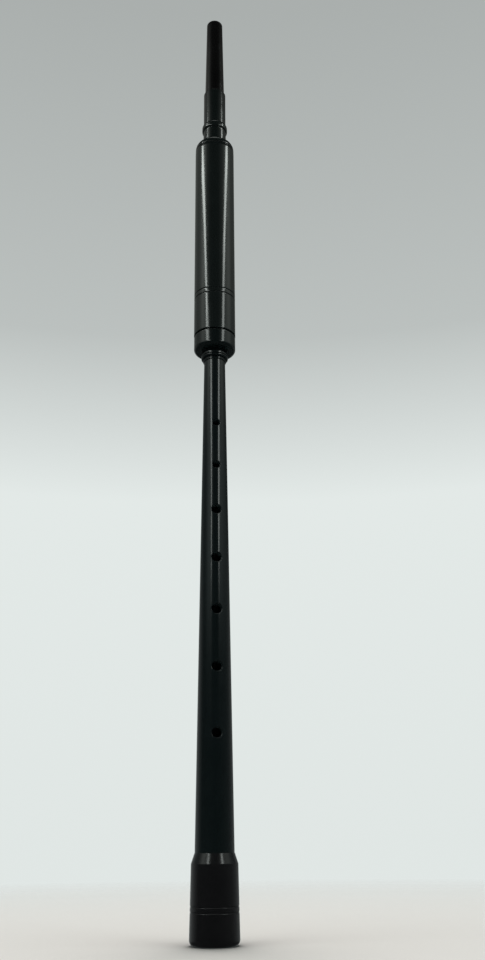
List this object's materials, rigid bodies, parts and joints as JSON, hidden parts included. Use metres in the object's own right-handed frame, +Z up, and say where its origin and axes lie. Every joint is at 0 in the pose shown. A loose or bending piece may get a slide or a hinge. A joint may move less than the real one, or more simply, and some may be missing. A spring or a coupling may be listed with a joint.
{
  "type": "practice chanter",
  "caption": "Slim black double-reed practice pipe: tapered mouthpiece, beaded neck, cylindrical reed barrel on a screw cap, tapered finger-hole stem and flared foot.",
  "frame": {"origin": "centre of the sole's flat underside, on the bore's axis", "axes": "+Z up the bore from the sole to the mouthpiece tip; the seven finger holes face -Y and the thumb hole faces +Y"},
  "size_m": [0.022, 0.022, 0.51],
  "materials": {
    "stem_plastic": "turned and polished",
    "sole_plastic": "turned and polished",
    "cap_plastic": "turned and polished",
    "tube_plastic": "as moulded",
    "barrel_plastic": "turned and polished",
    "mouthpiece_plastic": "satin, moulded",
    "seal_rubber": "satin",
    "staple_brass": "satin",
    "hemp_thread": "waxed",
    "reed_blade": "translucent satin",
    "binding_thread": "waxed",
    "bridle_rubber": "satin"
  },
  "bodies": {
    "stem": {"chanter_pipe": "stem_plastic", "sole": "sole_plastic"},
    "tenon_seals": {"tenon_o_ring_lower": "seal_rubber", "tenon_o_ring_upper": "seal_rubber"},
    "trap": {"trap_cap": "cap_plastic", "trap_tube": "tube_plastic"},
    "cap_seal": {"cap_o_ring": "seal_rubber"},
    "barrel": {"barrel": "barrel_plastic"},
    "mouthpiece_seals": {"mouthpiece_o_ring_lower": "seal_rubber", "mouthpiece_o_ring_upper": "seal_rubber"},
    "mouthpiece": {"mouthpiece": "mouthpiece_plastic"},
    "reed": {"reed_staple": "staple_brass", "reed_hemp": "hemp_thread", "reed_blade_front": "reed_blade", "reed_blade_back": "reed_blade", "reed_binding": "binding_thread", "reed_bridle": "bridle_rubber"}
  },
  "joints": [
    {"name": "top_turn", "type": "hinge", "parent": "stem", "child": "tenon_seals", "pos_m": [0, 0, 0.292], "axis": [0, 0, 1], "continuous": true},
    {"name": "top_pull", "type": "slide", "parent": "tenon_seals", "child": "trap", "axis": [0, 0, 1], "range_m": [0, 0.06]},
    {"name": "barrel_turn", "type": "hinge", "parent": "trap", "child": "cap_seal", "pos_m": [0, 0, 0.2916], "axis": [0, 0, 1], "range_deg": [0, 1980]},
    {"name": "barrel_lift", "type": "slide", "parent": "cap_seal", "child": "barrel", "axis": [0, 0, 1], "range_m": [0, 0.011]},
    {"name": "mouthpiece_pull", "type": "slide", "parent": "barrel", "child": "mouthpiece_seals", "axis": [0, 0, 1], "range_m": [0, 0.022]},
    {"name": "mouthpiece_turn", "type": "hinge", "parent": "mouthpiece_seals", "child": "mouthpiece", "pos_m": [0, 0, 0.4445], "axis": [0, 0, 1], "continuous": true},
    {"name": "reed_pull", "type": "slide", "parent": "stem", "child": "reed", "axis": [0, 0, 1], "range_m": [0, 0.012]}
  ],
  "couplings": [
    {"joint": "barrel_lift", "follows": "barrel_turn", "m_per_rad": 0.00031831}
  ]
}
